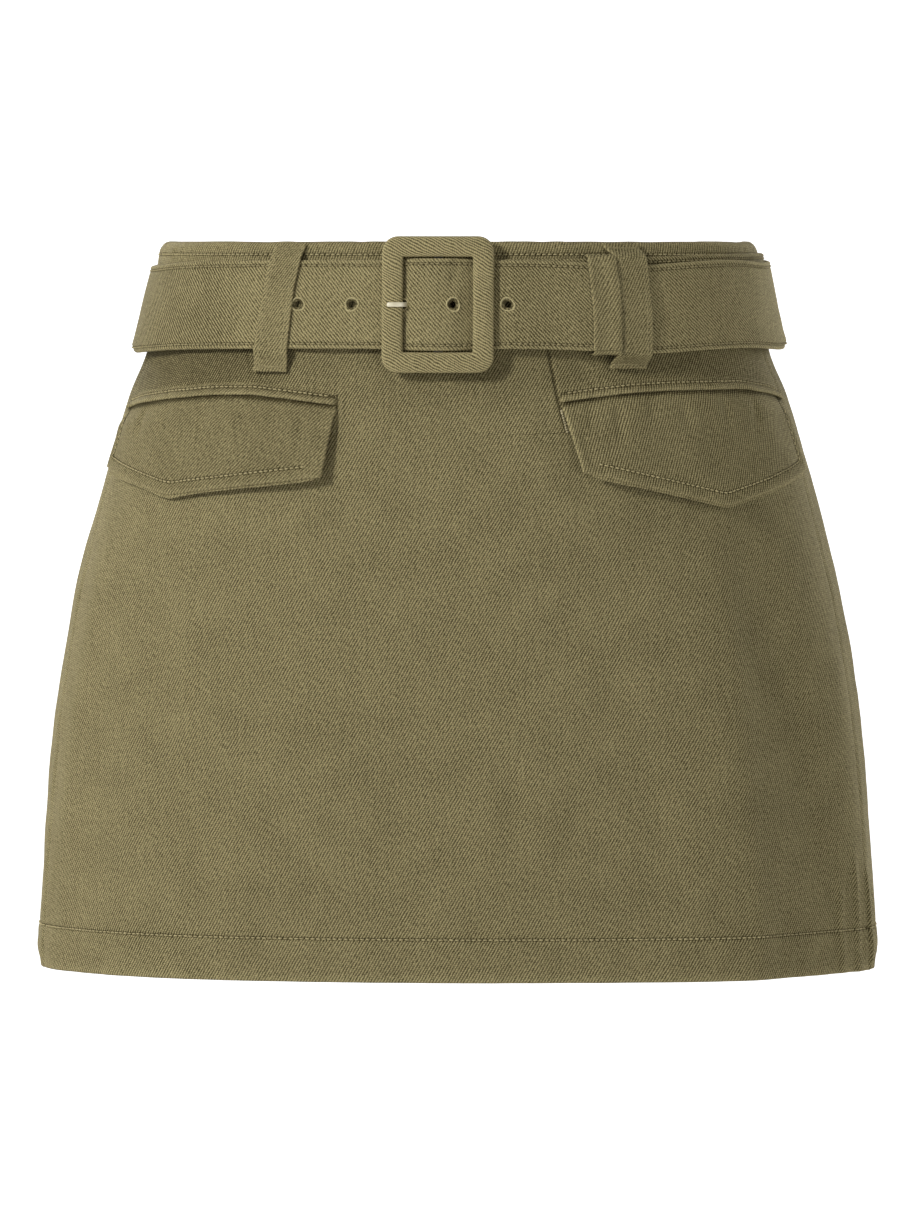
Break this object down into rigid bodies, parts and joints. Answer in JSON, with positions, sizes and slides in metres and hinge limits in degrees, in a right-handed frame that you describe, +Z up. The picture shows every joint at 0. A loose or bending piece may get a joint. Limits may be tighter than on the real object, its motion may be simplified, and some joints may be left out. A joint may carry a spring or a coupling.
{
  "type": "mini skort",
  "caption": "Short A-line skirt over inner shorts, filled out as worn, with flap pockets and a matching cloth belt fastened in a covered buckle.",
  "frame": {"origin": "centre of the waist opening, level with the waist edge, where the wearer's waist holds it", "axes": "+Z up, -Y to the garment's front, +X to the side of the belt's tail (the wearer's left)"},
  "size_m": [0.4068, 0.2441, 0.3526],
  "materials": {
    "twill": "matt olive cotton twill with tonal topstitching",
    "belt_twill": "matt olive cotton twill, stiffened, with edge stitching",
    "buckle_cloth": "the same twill drawn tight over a rigid frame",
    "bar_metal": "plain metal bar behind the frame",
    "prong": "pale cream satin metal",
    "shorts_cloth": "plain matt olive cotton"
  },
  "bodies": {
    "root": {"skirt_front": "twill", "skirt_back": "twill", "waistband_front": "twill", "waistband_back": "twill", "pocket_welt_left": "twill", "pocket_welt_right": "twill", "pocket_flap_left": "twill", "pocket_flap_right": "twill", "belt_loop_front_left": "twill", "belt_loop_front_right": "twill", "belt_loop_back_left": "twill", "belt_loop_back_centre": "twill", "belt_loop_back_right": "twill", "belt_strap": "belt_twill", "belt_keeper": "belt_twill", "buckle_frame": "buckle_cloth", "buckle_bar": "bar_metal", "buckle_prong": "prong", "shorts_front_left": "shorts_cloth", "shorts_front_right": "shorts_cloth", "shorts_back_left": "shorts_cloth", "shorts_back_right": "shorts_cloth"}
  },
  "joints": []
}
